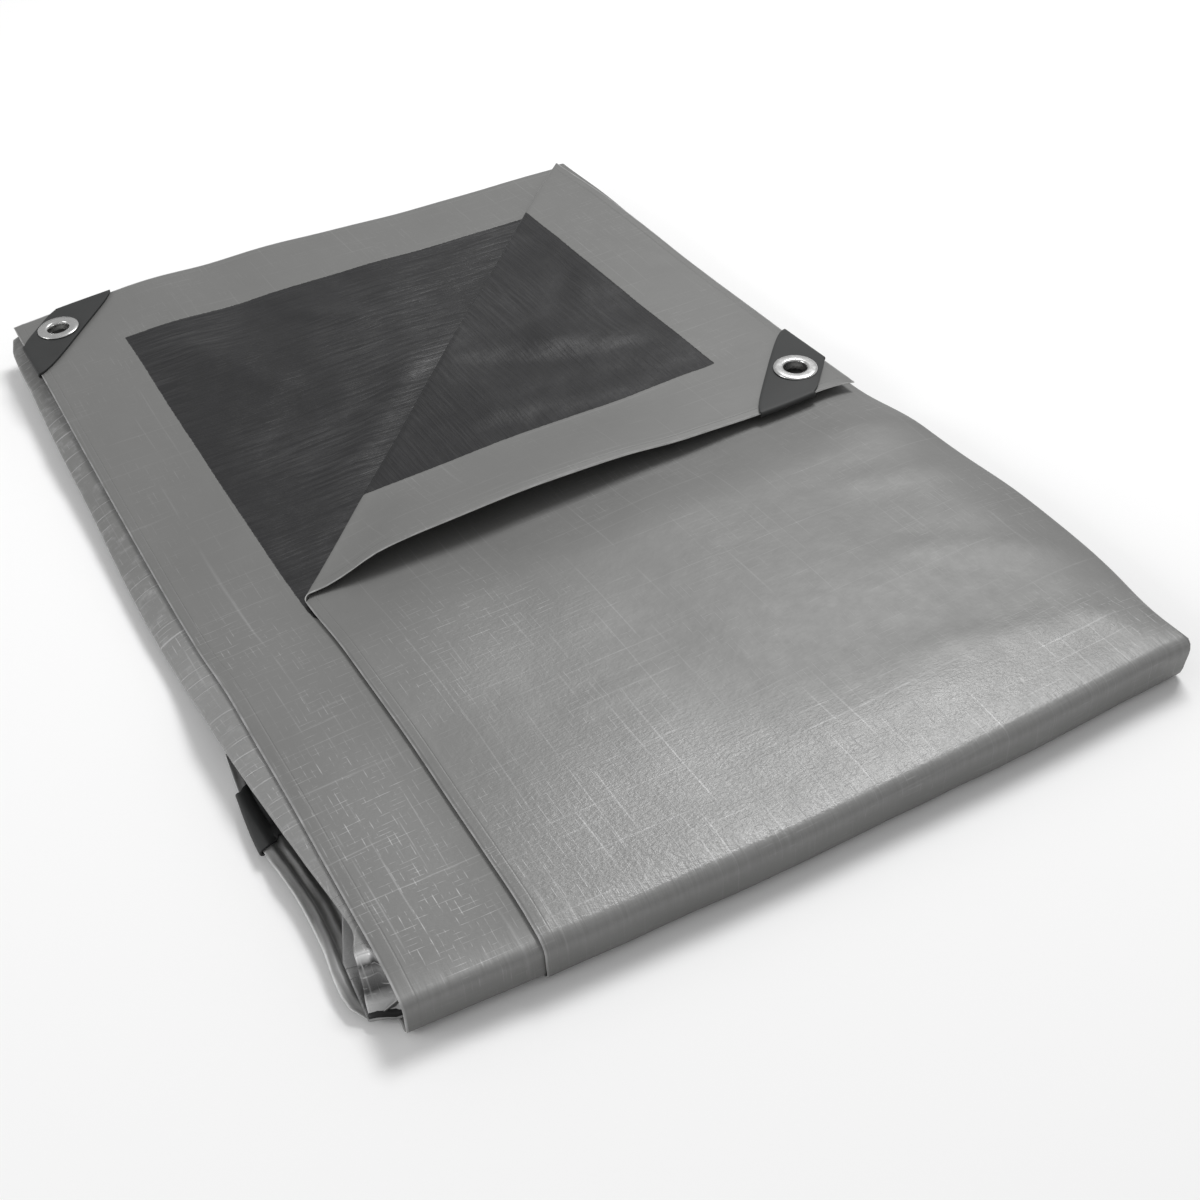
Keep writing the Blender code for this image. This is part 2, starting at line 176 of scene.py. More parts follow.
# Where each layer starts and turns across the bundle, row by row down the length.
# The front turn is run 0, and its place is the share of the turn.
SPAN_COLUMNS = ("run", "place", "a_edge", "left", "inner", "outer", "b_edge")
SPANS = (
    (1, 262, -172, -174, 167, 174, -118),
    (1, 250, -172, -177, 168, 174, -118),
    (1, 200, -171, -178, 169, 174, -118),
    (1, 150, -170.5, -179, 170, 174, -118),
    (1, 100, -170, -179, 171, 176, -118),
    (1, 40, -169.5, -180, 172, 178, -118),
    (1, 0, -169, -180, 173, 179, -118),
    (1, -35, -168, -179, 174, 181, -118),
    (1, -70, -167, -178, 175, 183, -117),
    (1, -110, -166.5, -176, 177, 185, -116),
    (1, -145, -166, -173, 179, 187, -115),
    (1, -180, -166, -170, 178, 186, -115),
    (1, -210, -166, -168, 175, 182, -115),
    (1, -240, -166, -168, 170, 176, -115),
    (0, 0.5, -167, -173, 168, 174, -116),
    (4, -240, -167, -178, 167, 172, -115),
    (4, -180, -160, -163, 163, 169, -104),
    (4, -82, -160, -163, 160, 167, -104),
    (4, 60, -166, -172, 160, 166, -112),
    (4, 235, -170, -174, 162, 168, -116),
    (3, 235, -168, -172, 160, 166, -116),
    (3, 60, -166, -173, 158, 164, -112),
    (3, -82, -158, -162, 158, 165, -104),
    (3, -180, -157, -161, 160, 167, -104),
    (3, -248, -157, -161, 166, 170, -104),
    (2, -248, -158, -161, 166, 170, -104),
    (2, -243, -174, -160, 164, 169, -104),
    (2, -234, -180.5, -160, 163, 169, -104),
    (2, -205, -179, -160, 160, 166, -104),
    (2, -175, -179, -160, 159, 165, -104),
    (2, -145, -181.5, -160, 158, 164, -104),
    (2, -115, -179.5, -160, 158, 164, -104),
    (2, -90, -177, -160, 158, 164, -104),
)

# Backward bulge of the free end: x, how far back
BACK_ROWS = (
    (-172, 0),
    (-150, 2.5),
    (-108, 8),
    (-60, 9),
    (-20, 8),
    (40, 3),
    (100, 0),
    (190, 0),
)
BACK_REACH = 90.0

# Lifted free edge of the turned corner: x, height
LIFT_ROWS = (
    (-125, 0),
    (-110, 3),
    (-95, 6),
    (-60, 9),
    (-5, 9.5),
    (45, 7),
    (85, 3),
    (114, 0.3),
    (190, 0),
)

# Long soft swells of the top run: heading in degrees, wave length, phase, height
SWELLS = (
    (12, 150, 0.4, 0.35),
    (78, 118, 1.7, 0.30),
    (101, 71, 3.9, 0.16),
    (-8, 57, 2.2, 0.14),
)
SWELL_LUMPS = (0.5, 46.0)   # height and size
SWELL_FRONT = (-262.0, 40.0)

# Soft creases from one point to another, in the top layer, in the layer under its hem and in
# the turned corner: x1, y1, x2, y2, width, height
CREASES = (
    (-60, -158, 8, -163, 2.4, 0.70),
    (-100, -150, -20, -142, 5.0, 0.30),
    (-96, -236, 60, -244, 4.0, 0.35),
    (-20, -222, 165, -231, 5.0, 0.45),
    (80, -205, 178, -236, 4.5, 1.20),
    (110, -150, 180, -190, 6.0, 1.10),
    (120, -100, 182, -120, 6.0, 0.90),
    (135, -60, 182, -75, 5.0, 0.70),
    (150, -215, 166, -255, 4.0, 0.90),
    (40, -250, 70, -200, 5.0, 0.25),
    (-70, -120, -66, -240, 4.0, 0.22),
    (20, -60, 26, -250, 5.0, 0.25),
    (98, -40, 104, -240, 5.0, 0.28),
)
A_CREASES = (
    (-150, 150, -149, -240, 2.5, 0.25),
    (-138, 40, -136, -240, 3.0, 0.20),
    (-163, -180, -120, -186, 3.0, 0.25),
    (-163, -214, -118, -219, 3.0, 0.30),
    (-100, 190, -60, 120, 8.0, 0.80),
    (-100, 66, -40, 140, 8.0, -0.60),
    (-72, 36, 8, 118, 6.0, 1.30),
    (-34, 192, 14, 144, 6.0, 1.00),
)
FLAP_CREASES = (
    (18, 90, 70, 60, 6.0, -1.50),
    (114, 148, 84, 102, 6.0, -1.40),
    (62, 90, 112, 62, 8.0, 1.40),
    (0, 42, 90, 24, 8.0, 0.80),
    (120, 180, 165, 120, 5.0, 0.60),
)

# Where handling wear and painted sheen brighten the laminate: x, y, reach across, reach along,
# strength
WEAR_AND_SHEEN = (
    (-55, -222, 95, 75, 1.0),
    (10, -240, 110, 45, 0.7),
    (105, -238, 95, 34, 0.7),
    (-142, -190, 34, 95, 0.9),
    (-148, -60, 26, 70, 0.5),
    (-60, -120, 60, 60, 0.4),
)
WEAR_AND_SHEEN_SPLIT = -118.0         # left of here a row wears the lower hem, right of it the top layer

# Camera, from the photograph rectified to the bundle's plan
CAMERA_AT = (-232.7, -535.3, 448.0)
CAMERA_HEADING = -27.3
CAMERA_DOWN = 42.0
CAMERA_ROLL = -4.0
LENS = 45.0
SENSOR = 36.0


def smooth(share):
    """Ease from 0 to 1."""
    share = min(1.0, max(0.0, share))
    return share * share * (3 - 2 * share)


def curve(rows, key):
    """Read the columns of a table through its rows with a smooth curve."""
    if key <= rows[0][0]:
        return list(rows[0][1:])
    if key >= rows[-1][0]:
        return list(rows[-1][1:])
    at = next(index for index, row in enumerate(rows) if row[0] > key) - 1
    first, second = rows[at], rows[at + 1]
    before, after = rows[max(at - 1, 0)], rows[min(at + 2, len(rows) - 1)]
    width = second[0] - first[0]
    t = (key - first[0]) / width
    read = []
    for column in range(1, len(first)):
        a, b = first[column], second[column]
        slope_a = (b - before[column]) / (second[0] - before[0]) * width
        slope_b = (after[column] - a) / (after[0] - first[0]) * width
        bend = a * (2 * t ** 3 - 3 * t ** 2 + 1) + slope_a * (t ** 3 - 2 * t ** 2 + t)
        read.append(bend + b * (3 * t ** 2 - 2 * t ** 3) + slope_b * (t ** 3 - t ** 2))
    return read


class Path:
    """A plane path of straight stretches and round turns, walked by its length."""

    def __init__(self, start, heading):
        self.ends = [(0.0, Vector(start), heading, 0.0)]

    def go(self, length, bend=0.0):
        """Add a stretch of a length that turns by an angle."""
        at, point, heading, _ = self.ends[-1]
        self.ends[-1] = (at, point, heading, bend / length)
        point, heading = self.walk(at + length)
        self.ends.append((at + length, point, heading, 0.0))
        return self

    def walk(self, length):
        """Point and heading at a length along the path."""
        at, point, heading, curl = [end for end in self.ends if end[0] <= length + 1e-9][-1]
        run = length - at
        if curl == 0.0:
            return point + Vector((cos(heading), sin(heading))) * run, heading
        after = heading + curl * run
        turn = Vector((sin(after) - sin(heading), cos(heading) - cos(after))) / curl
        return point + turn, after


def length_path():
    """The way the runs go, seen from the side: Y to the back and Z up."""
    low, high = (HALF + PITCH * (LAYERS * run + 1.5) for run in (0, RUNS - 1))
    quarter = FRONT_TURN * pi / 2
    path = Path((BACK, high), pi)
    path.go(BACK - FRONT - FRONT_TURN)
    path.go(quarter, pi / 2).go(high - low - 2 * FRONT_TURN).go(quarter, pi / 2)
    path.go(INNER_BACK - FRONT - FRONT_TURN)
    path.go(SMALL_TURN * pi, pi)
    path.go(INNER_BACK - INNER_FRONT)
    path.go(SMALL_TURN * pi, -pi)
    path.go(INNER_END - INNER_FRONT)
    return path


PATH = length_path()
RUN_ENDS = {1: 0, 0: 1, 4: 4, 3: 6, 2: 8}
TOP_END = PATH.ends[1][0]
TURN_END = PATH.ends[4][0]
BACK_TURN, BACK_TURN_END, INNER_TURN = (PATH.ends[index][0] for index in (5, 6, 7))
LAST_RUN = PATH.ends[8][0]
WHOLE = PATH.ends[-1][0]


def length_at(run, place):
    """Length along the path of a place in a run."""
    start, point = PATH.ends[RUN_ENDS[run]][:2]
    if run == 0:
        return start + (TURN_END - start) * place
    return start + abs(place - point.x)


SPAN_ROWS = [(length_at(row[0], row[1]), *row[2:]) for row in SPANS]
CLOTH_TURN = 2.1            # cloth in one turn across the bundle
CLOTH_WIDTH = 4 * CLOTH_TURN + max(
    2 * inner + 2 * outer - 2 * left - a_edge - b_edge
    for _, a_edge, left, inner, outer, b_edge in SPAN_ROWS
)


def crease(row, x, y):
    """Height of one soft crease at a point."""
    x1, y1, x2, y2, width, height = row
    run = Vector((x2 - x1, y2 - y1))
    reach = Vector((x - x1, y - y1))
    along = reach.dot(run) / run.length_squared
    if not -0.1 < along < 1.1:
        return 0.0
    aside = abs(run.x * reach.y - run.y * reach.x) / run.length
    if aside > 3 * width:
        return 0.0
    return (
        height
        * smooth(along * 4 + 0.4)
        * smooth((1 - along) * 4 + 0.4)
        * exp(-((aside / width) ** 2))
    )


def swell(x, y):
    """Long soft swells, the same for every layer of the top run."""
    total = 0.0
    for heading, wave, phase, height in SWELLS:
        way = x * cos(radians(heading)) + y * sin(radians(heading))
        total += height * sin(2 * pi * way / wave + phase)
    height, size = SWELL_LUMPS
    return total + height * noise(Vector((x, y, 0.0)) / size)


def step_share(y):
    """How far a place is past the slope behind the hidden end."""
    return smooth((y - STEP[0]) / (STEP[1] - STEP[0]))


def bowed(x, y):
    """Place along the bundle after its front fold is bowed."""
    bow = (max(0.0, BOW_FROM - x) / BOW_REACH) ** 2
    return y + BOW * bow * smooth((BOW_FADE - y) / (BOW_FADE - BOW_FULL))


def puffed(x, y, z):
    """Height of a point after the stack is loosened at the back and puffed up."""
    across = smooth(1 - abs(x - PUFF_MIDDLE[0]) / PUFF_REACH[0])
    along = smooth(1 - abs(y - PUFF_MIDDLE[1]) / PUFF_REACH[1])
    loose = LOOSE * smooth((y - LOOSE_FROM) / (LOOSE_TO - LOOSE_FROM))
    return z + (z - HALF) * (loose + PUFF * across * along)


def top_surface(x, y, z):
    """Height in the top run: stepped down behind the hidden end, puffed, swelling, rolled off."""
    z = puffed(x, y, z - STEP_DOWN * step_share(y))
    z += swell(x, y) * smooth((y - SWELL_FRONT[0]) / SWELL_FRONT[1])
    roll = smooth((y - ROLL_FRONT[0]) / ROLL_FRONT[1])
    roll *= smooth((ROLL_BACK[0] - y) / (ROLL_BACK[0] - ROLL_BACK[1]))
    z -= ROLL_DOWN * max(0.0, (x - ROLL_FROM) / ROLL_WIDTH) ** 2 * roll
    return z


def corner_room(along_side, along_end, room):
    """Room under a corner patch, at distances from the corner along both edges."""
    reach = max(along_side, along_end)
    return room * smooth((ROOM_END - reach) / (ROOM_END - ROOM_FULL))


def edge_ridge(inset):
    """Welded cord line just inside a free edge."""
    return 0.15 * exp(-(((inset - 5.0) / 1.5) ** 2))


# Flat layers across the bundle: start, end, offset from the middle of the run in layers
FLATS = {
    "A": ("a_edge", "inner", 0.5),
    "C": ("inner", "left", -0.5),
    "D": ("left", "outer", -1.5),
    "B": ("outer", "b_edge", 1.5),
}

# Turns between them: place, offset of the middle, radius, side
TURNS = {
    "AC": ("inner", 0.0, 0.5, 1),
    "CD": ("left", -1.0, 0.5, -1),
    "DB": ("outer", 0.0, -1.5, 1),
}
MIDDLE_LAYERS = ("C", "CD", "D")


class Row:
    """One station down the length of the sheet."""

    def __init__(self, length):
        self.length = length
        (self.y, self.z), self.heading = PATH.walk(length)
        self.span = dict(zip(SPAN_COLUMNS[2:], curve(SPAN_ROWS, length)))
        self.top = length <= TOP_END
        self.turn = TOP_END < length < TURN_END
        self.way = min(1.0, max(0.0, (length - TOP_END) / (TURN_END - TOP_END)))

    def across(self, layer, share, inset):
        """Place across the bundle and offset in the run."""
        if layer in FLATS:
            start, end, offset = FLATS[layer]
            start, end = self.span[start], self.span[end]
            side = 1 if end > start else -1
            return start + (end - start) * share + side * inset, offset * PITCH
        middle, offset, radius, side = TURNS[layer]
        x = self.span[middle] + side * abs(radius) * PITCH * sin(share * pi)
        return x, (offset + radius * cos(share * pi)) * PITCH

    def cloth(self, layer, x):
        """Distance across the flat sheet from its A edge, and from the nearest free edge."""
        span = self.span
        first = span["inner"] - span["a_edge"]
        second = first + span["inner"] - span["left"]
        third = second + span["outer"] - span["left"]
        turns = {"A": 0, "AC": 0, "C": 1, "CD": 1, "D": 2, "DB": 2, "B": 4}[layer] * CLOTH_TURN
        across = {
            "A": x - span["a_edge"],
            "AC": first + 1,
            "C": first + span["inner"] - x,
            "CD": second + 1,
            "D": second + x - span["left"],
            "DB": third + 3,
            "B": CLOTH_WIDTH - 4 * CLOTH_TURN + span["b_edge"] - x,
        }[layer]
        side = {"A": x - span["a_edge"], "B": x - span["b_edge"]}.get(layer, INNER_SIDE)
        if layer == "A" and (self.top or self.turn) and x < HIDDEN_HEM:
            side *= 1 - HEM_WIDER * smooth((FOLD_START.y - 4 - self.y) / HEM_REACH)
        return across + turns, min(side, self.length, WHOLE - self.length)

    def point(self, layer, share, inset=0.0):
        """Point of the folded sheet, before its top corner is turned back."""
        x, offset = self.across(layer, share, inset)
        y = bowed(x, self.y + sin(self.heading) * offset)
        z = self.z - cos(self.heading) * offset
        if self.top:
            y, z = self.top_point(layer, x, y, z)
        else:
            z = puffed(x, y, z)
        if layer in MIDDLE_LAYERS:
            if self.top:
                out = max(0.0, BAND_FROM - x) / BAND_WIDTH
                z -= BAND_DROOP * out ** 2
                z += BAND_RIPPLE * smooth(out * 2) * noise(Vector((x / 14, y / 11, 3)))
            if self.length < LAST_RUN:
                y, z = tucked(x, y, z, self.way)
        if self.turn:
            ripple = TURN_RIPPLE[0] * noise(Vector((x / TURN_RIPPLE[1], self.way * 2, 5)))
            wave = TURN_WAVE[0] * noise(Vector((x / TURN_WAVE[1], 0, 9)))
            y -= (ripple + wave) * sin(self.way * pi)
        if self.length >= LAST_RUN and layer == "A":
            y, z = hanging(x, y, z)
        return Vector((x, y, max(z, SHEET)))

    def top_point(self, layer, x, y, z):
        """Place along the bundle and height of a point in the top run."""
        span = self.span
        if layer != "B":
            y += curve(BACK_ROWS, x)[0] * smooth((y - BACK + BACK_REACH) / BACK_REACH)
        z = top_surface(x, y, z)
        if layer == "A":
            z += corner_room(x - span["a_edge"], self.length, CORNER_ROOM)
            z += edge_ridge(x - span["a_edge"]) + edge_ridge(self.length)
            z += sum(crease(row, x, y) for row in A_CREASES)
        if layer == "B":
            z += edge_ridge(x - span["b_edge"])
            z += EDGE_LIFT * smooth(1 - (x - span["b_edge"]) / EDGE_LIFT_REACH)
            z += sum(crease(row, x, y) for row in CREASES)
        return y, z


def pleat(out, y):
    """Lengthwise pleats of the hanging strip, which gather at its front end."""
    spacing, height = STRIP_PLEATS
    start, reach, drop = STRIP_GATHER
    gather = smooth((start - y) / reach)
    ripple = sin(2 * pi * (out + 1.2 * noise(Vector((0, y / 22, 0)))) / spacing)
    return height * ripple * smooth(out / 5) * smooth((21 - out) / 6) - drop * gather


def hanging(x, y, z):
    """Layer of the hidden end, whose hem strip hangs out at the left."""
    out = STRIP_FROM - x
    if out > 0:
        front = smooth((BOW_FADE - y) / (BOW_FADE - BOW_FULL))
        y -= BOW * STRIP_BOW[0] * smooth(out / STRIP_BOW[1]) * front
        z += curve(STRIP_ROWS, out)[0] + pleat(out, y)
    sunk = smooth((SUNK[0] - x) / (SUNK[0] - SUNK[1]))
    z -= PITCH * sunk * smooth((y - SUNK_BACK[0]) / (SUNK_BACK[1] - SUNK_BACK[0]))
    start, reach, room = PATCH_FLOOR
    return y, max(z, room * smooth((y - start) / reach))


def tucked(x, y, z, way):
    """Band of the middle layers, whose front end sits back and is crumpled."""
    aside = smooth((TUCK_FROM - x) / TUCK_WIDTH)
    front = smooth((TUCK_START - y) / TUCK_REACH)
    splay = TUCK_SPLAY * max(0.0, TUCK_SPLAY_FROM - x)
    back = TUCK[0] + (TUCK[1] + splay - TUCK[0]) * way
    y += back * aside * front
    crumple = aside * smooth((CRUMPLE_FROM - y) / CRUMPLE_REACH)
    spot = Vector((x, y, z * 1.4)) / CRUMPLE_SIZE
    y += CRUMPLE[0] * crumple * noise(spot)
    z += CRUMPLE[1] * crumple * noise(spot + Vector((9, 4, 1)))
    return y, max(TUCK_FLOOR, z)


def top_height(x, y):
    """Middle height of the top layer."""
    return top_surface(x, y, HALF + PITCH * (LAYERS * RUNS - 1))


def turned(point, b_edge):
    """Point of the top layer after its corner is turned back over the diagonal."""
    flat = Vector((point.x, point.y))
    beyond = (flat - FOLD_START).dot(FOLD_BEYOND)
    if beyond <= 1e-6:
        return point
    foot = flat - FOLD_BEYOND * beyond
    angle = min(pi, beyond / FOLD_TURN)
    past = beyond - FOLD_TURN * angle
    flat = foot + FOLD_BEYOND * (FOLD_TURN * sin(angle) - past) + FLAP_SKEW * past / FLAP_REACH
    z = top_height(flat.x, flat.y) + FOLD_TURN * (1 - cos(angle))
    lift = curve(LIFT_ROWS, flat.x)[0] * smooth(1 - (flat.y - FLAP_EDGE) / LIFT_REACH)
    room = corner_room(point.x - b_edge, BACK - point.y, TIP_ROOM)
    clear = smooth(past / FLAP_CLEAR)
    z += clear * (lift + FLAP_RISE[0] * smooth(past / FLAP_RISE[1])) + room
    z += edge_ridge(point.x - b_edge) + edge_ridge(BACK - point.y)
    z += clear * sum(crease(row, flat.x, flat.y) for row in FLAP_CREASES)
    return Vector((flat.x, flat.y, z))


def spaced(start, end, step):
    """Even stations from start to end, both kept."""
    count = max(1, round(abs(end - start) / step))
    return [start + (end - start) * index / count for index in range(count + 1)]


# Distances from a free edge, and from the turn of the band, at which the sheet has points
EDGE_INSETS = [0.0, 1.6, 3.4, 5.0, 6.6, 9.0, 13.0]
BAND_INSETS = [0.0, 1.0, 2.5, 5.0, 8.0, 11.0, 14.0, 18.0]


def length_stations():
    """Lengths along the path at which the sheet has a row of points."""
    rows = EDGE_INSETS + spaced(19.0, TOP_END, 6.0)
    rows += spaced(TOP_END, TURN_END, 1.6)[1:]
    rows += spaced(TURN_END, BACK_TURN, 34.0)[1:]
    rows += spaced(BACK_TURN, BACK_TURN_END, 1.5)[1:]
    rows += spaced(BACK_TURN_END, INNER_TURN, 34.0)[1:]
    rows += spaced(INNER_TURN, LAST_RUN, 1.1)[1:]
    rows += spaced(LAST_RUN, WHOLE - 10.0, 6.0)[1:]
    rows += [WHOLE - 6.6, WHOLE - 5.0, WHOLE - 3.4, WHOLE - 1.6, WHOLE]
    return rows


def width_stations():
    """Layers, shares and insets at which the sheet has a column of points."""
    columns = [("A", 0.0, inset) for inset in EDGE_INSETS]
    columns += [("A", 0.055 + 0.945 * step / 53, 0.0) for step in range(54)]
    columns += [("AC", step / 6, 0.0) for step in range(1, 6)]
    columns += [("C", step / 16 * 0.93, 0.0) for step in range(17)]
    columns += [("C", 1.0, -inset) for inset in reversed(BAND_INSETS)]
    columns += [("CD", step / 8, 0.0) for step in range(1, 8)]
    columns += [("D", 0.0, inset) for inset in BAND_INSETS]
    columns += [("D", 0.07 + 0.93 * step / 12, 0.0) for step in range(13)]
    columns += [("DB", step / 10, 0.0) for step in range(1, 10)]
    columns += [("B", 0.955 * step / 46, 0.0) for step in range(47)]
    columns += [("B", 1.0, -inset) for inset in reversed(EDGE_INSETS[:-1])]
    return columns


def wear_and_sheen(row, layer, point):
    """How bright the laminate is at a point from wear and painted sheen; on the band a painted
    highlight.
    """
    if layer in MIDDLE_LAYERS and point.x < -160:
        # On the band at the left: painted highlight, brighter toward the front and at its crumpled
        # end.
        return 0.1 + 0.4 * smooth((60 - point.y) / 120) + 0.5 * smooth((-212 - point.y) / 8)
    if not row.top or layer not in ("A", "B"):
        return 0.0
    total = 0.0
    for x, y, across, along, strength in WEAR_AND_SHEEN:
        if (x < WEAR_AND_SHEEN_SPLIT) == (layer == "A"):
            reach = Vector(((point.x - x) / across, (point.y - y) / along)).length
            total += strength * smooth(1.15 - reach)
    return min(1.0, total)


class Wire:
    """A socket of a material with arithmetic on it."""

    def __init__(self, finish, socket):
        self.finish = finish
        self.socket = socket

    def math(self, operation, other=0.0):
        """A Math node on this value and another."""
        return self.finish.add("ShaderNodeMath", [self, other], operation=operation)

    def clamped(self):
        """This value kept from 0 to 1."""
        return self.math("MAXIMUM", 0.0).math("MINIMUM", 1.0)

    def __add__(self, other):
        return self.math("ADD", other)

    def __radd__(self, other):
        return self.math("ADD", other)

    def __sub__(self, other):
        return self.math("SUBTRACT", other)

    def __rsub__(self, other):
        return (self * -1.0) + other

    def __mul__(self, other):
        return self.math("MULTIPLY", other)

    def __rmul__(self, other):
        return self.math("MULTIPLY", other)

    def __truediv__(self, other):
        return self.math("DIVIDE", other)

    def __rtruediv__(self, other):
        return self.math("POWER", -1.0) * other


class Finish:
    """A material built from nodes."""

    def __init__(self, name, **fixed):
        self.material = bpy.data.materials.new(name)
        self.material.use_nodes = True
        self.tree = self.material.node_tree
        self.shader = self.tree.nodes["Principled BSDF"]
        for socket, value in fixed.items():
            self.shader.inputs[socket.replace("_", " ")].default_value = value

    def add(self, kind, values=(), out=0, stops=None, **settings):
        """A node of a type with its settings, and the values or links of its sockets."""
        node = self.tree.nodes.new(kind)
        for name, value in settings.items():
            setattr(node, name, value)
        if stops:
            ramp = node.color_ramp
            for place, _ in stops[1:-1]:
                ramp.elements.new(place)
            for element, (place, shade) in zip(ramp.elements, stops):
                element.position = place
                element.color = (shade, shade, shade, 1.0)
        pairs = values.items() if isinstance(values, dict) else enumerate(values)
        for key, value in pairs:
            self.plug(value, node.inputs[key])
        return Wire(self, node.outputs[out])

    def plug(self, value, socket):
        """Link a wire to a socket, or set the socket's value."""
        if isinstance(value, Wire):
            self.tree.links.new(value.socket, socket)
        else:
            socket.default_value = value

    def set(self, **sockets):
        """Feed the shader's sockets."""
        for name, value in sockets.items():
            self.plug(value, self.shader.inputs[name.replace("_", " ")])

    def mark(self, name):
        """A value kept on the sheet's points."""
        return self.add("ShaderNodeAttribute", out="Fac", attribute_name=name)

    def uv(self, stretch=(1, 1, 1)):
        """The sheet's own flat coordinates, in millimetres."""
        place = self.add("ShaderNodeTexCoord", out="UV")
        stretch = tuple(value * 1000.0 for value in stretch)
        values = {"Vector": place, "Scale": stretch}
        return self.add("ShaderNodeMapping", values, vector_type="POINT")

    def grain(self, place, scale, detail, rough):
        """Noise from 0 to 1 on a coordinate."""
        values = {"Vector": place, "Scale": scale, "Detail": detail, "Roughness": rough}
        return self.add("ShaderNodeTexNoise", values, out="Fac")

    def ramp(self, value, stops):
        """A value through a ramp of grey stops."""
        return self.add("ShaderNodeValToRGB", [value], stops=stops)

    def blend(self, share, first, second):
        """One colour to another."""
        values = {0: share, 6: first, 7: second}    # the node's factor and its two colours
        return self.add("ShaderNodeMix", values, out=2, data_type="RGBA")

    def bump(self, height, depth, strength=1.0, under=None):
        """A bump of a depth in millimetres."""
        values = {"Height": height, "Distance": depth * MM, "Strength": strength}
        if under:
            values["Normal"] = under
        return self.add("ShaderNodeBump", values)


def thin_lines(finish, axis, spacing, drift, wide):
    """Thin straight lines about a spacing apart, in millimetres, that cross one axis."""
    place = finish.uv()
    stray = [0.003, 0.003, 1.0]
    stray[axis] = 0.4 / spacing
    way = finish.add("ShaderNodeSeparateXYZ", [place], out=axis) / spacing
    way = way + finish.grain(finish.uv(stretch=stray), 1.0, 1.0, 0.5) * drift
    line = (way * pi).math("SINE").math("ABSOLUTE") * (-spacing / (pi * wide)) + 1.0
    return line.math("MAXIMUM", 0.0)


def tape_lines(finish, axis):
    """Thin straight broken lines along the edges of the woven tapes that run one way."""
    place = finish.uv()
    drift = finish.grain(place, 0.02, 1.0, 0.5) * 1.4
    way = finish.add("ShaderNodeSeparateXYZ", [place], out=axis) + drift
    line = (way * (pi / TAPE[axis])).math("SINE").math("ABSOLUTE") * -3.6 + 1.0
    stretch = [0.33, 0.33, 1.0]
    stretch[1 - axis] = 0.10
    broken = finish.grain(finish.uv(stretch=stretch), 1.0, 3.0, 0.7)
    return line.math("MAXIMUM", 0.0) * finish.ramp(broken, ((0.50, 0.0), (0.64, 1.0)))


def fold_line_glints(finish):
    """Long thin lines both ways, where the sheet was folded before, painted bright as glints."""
    total = 0.0
    for axis, spacing in ((0, 7.5), (1, 10.0)):
        fade = [0.012, 0.012, 1.0]
        fade[axis] = 0.06
        seen = finish.grain(finish.uv(stretch=fade), 1.0, 3.0, 0.7)
        lines = thin_lines(finish, axis, spacing, 1.6, 0.4)
        total = lines * finish.ramp(seen, ((0.50, 0.0), (0.60, 1.0))) + total
    return total


def weave(finish):
    """Relief of the woven tapes under the laminate, and painted glints where their ridges catch
    light.
    """
    wear_and_sheen_here = finish.mark("wear_and_sheen")
    zone = finish.ramp(finish.grain(finish.uv(), 0.016, 3.0, 0.65), ((0.42, 0.05), (0.60, 1.0)))
    zone = zone * (wear_and_sheen_here * 0.75 + 0.25) + wear_and_sheen_here * 0.35
    lines = tape_lines(finish, 0) + tape_lines(finish, 1)
    # Painted glints on the tape lines and the old fold lines, strongest with the wear and painted
    # sheen.
    glint = lines * zone * 1.3 + fold_line_glints(finish) * (wear_and_sheen_here * 0.45 + 0.14)
    lumps = finish.grain(finish.uv(stretch=(0.42, 0.75, 1.0)), 1.0, 3.0, 0.65)
    relief = lines * (zone * 0.4 + 0.05) + lumps * (wear_and_sheen_here * 1.2 + 0.25)
    return relief, glint, wear_and_sheen_here


def edge_highlight_and_weld(finish):
    """Distance from the free edge, a painted highlight along its rim and the weld line inside it.
    """
    inset = finish.mark("edge_distance")
    # Painted highlight along the rim of the free edge.
    rim = (inset * -1.7 + 1.4).clamped()
    rim = rim * (finish.grain(finish.uv(), 0.12, 2.0, 0.5) * 1.6 - 0.2)
    weld = ((inset - 4.8).math("ABSOLUTE") * -2.4 + 1.0).math("MAXIMUM", 0.0)
    return inset, rim, weld


def band_creases_and_highlights(finish):
    """Short thin creases across the band at the left, painted bright as highlights."""
    lines = thin_lines(finish, 1, 9.0, 1.8, 0.45)
    seen = finish.grain(finish.uv(stretch=(0.03, 0.04, 1.0)), 1.0, 2.0, 0.6)
    return lines * finish.ramp(seen, ((0.48, 0.0), (0.56, 1.0)))


def front_strokes(finish):
    """Short strokes across the crease over the front fold, as relief and as painted highlights."""
    near = finish.mark("front_crease")
    return finish.grain(finish.uv(stretch=(0.42, 0.05, 1.0)), 1.0, 3.0, 0.7) * near


def foil_light_and_shade(finish, band):
    """Painted light and shade in bands down the crumpled end of the middle layers, and where it is.
    """
    down = finish.grain(finish.uv(), 0.16, 3.0, 0.6) * 0.14 + band - 1.07
    foil = finish.ramp(down, FOIL_LIGHT_AND_SHADE)
    return foil, finish.ramp(down, ((0.0, 0.0), (0.06, 1.0)))


def strip_pleats_light_and_shade(finish, inset, cloud):
    """Strip pleats with painted shading, a painted highlight on the outer part and painted shadow
    in the hollow.
    """
    strip = finish.mark("strip")
    pleats = (inset * (2 * pi / STRIP_PLEATS[0]) + cloud * 6.0).math("SINE") * strip
    outer = finish.ramp(inset / STRIP_WIDTH, ((0.04, 0.55), (0.6, 0.14))) * strip
    hollow_painted_shadow = finish.ramp(inset / STRIP_WIDTH, ((0.58, 0.0), (0.85, 0.9))) * strip
    return pleats, outer, hollow_painted_shadow


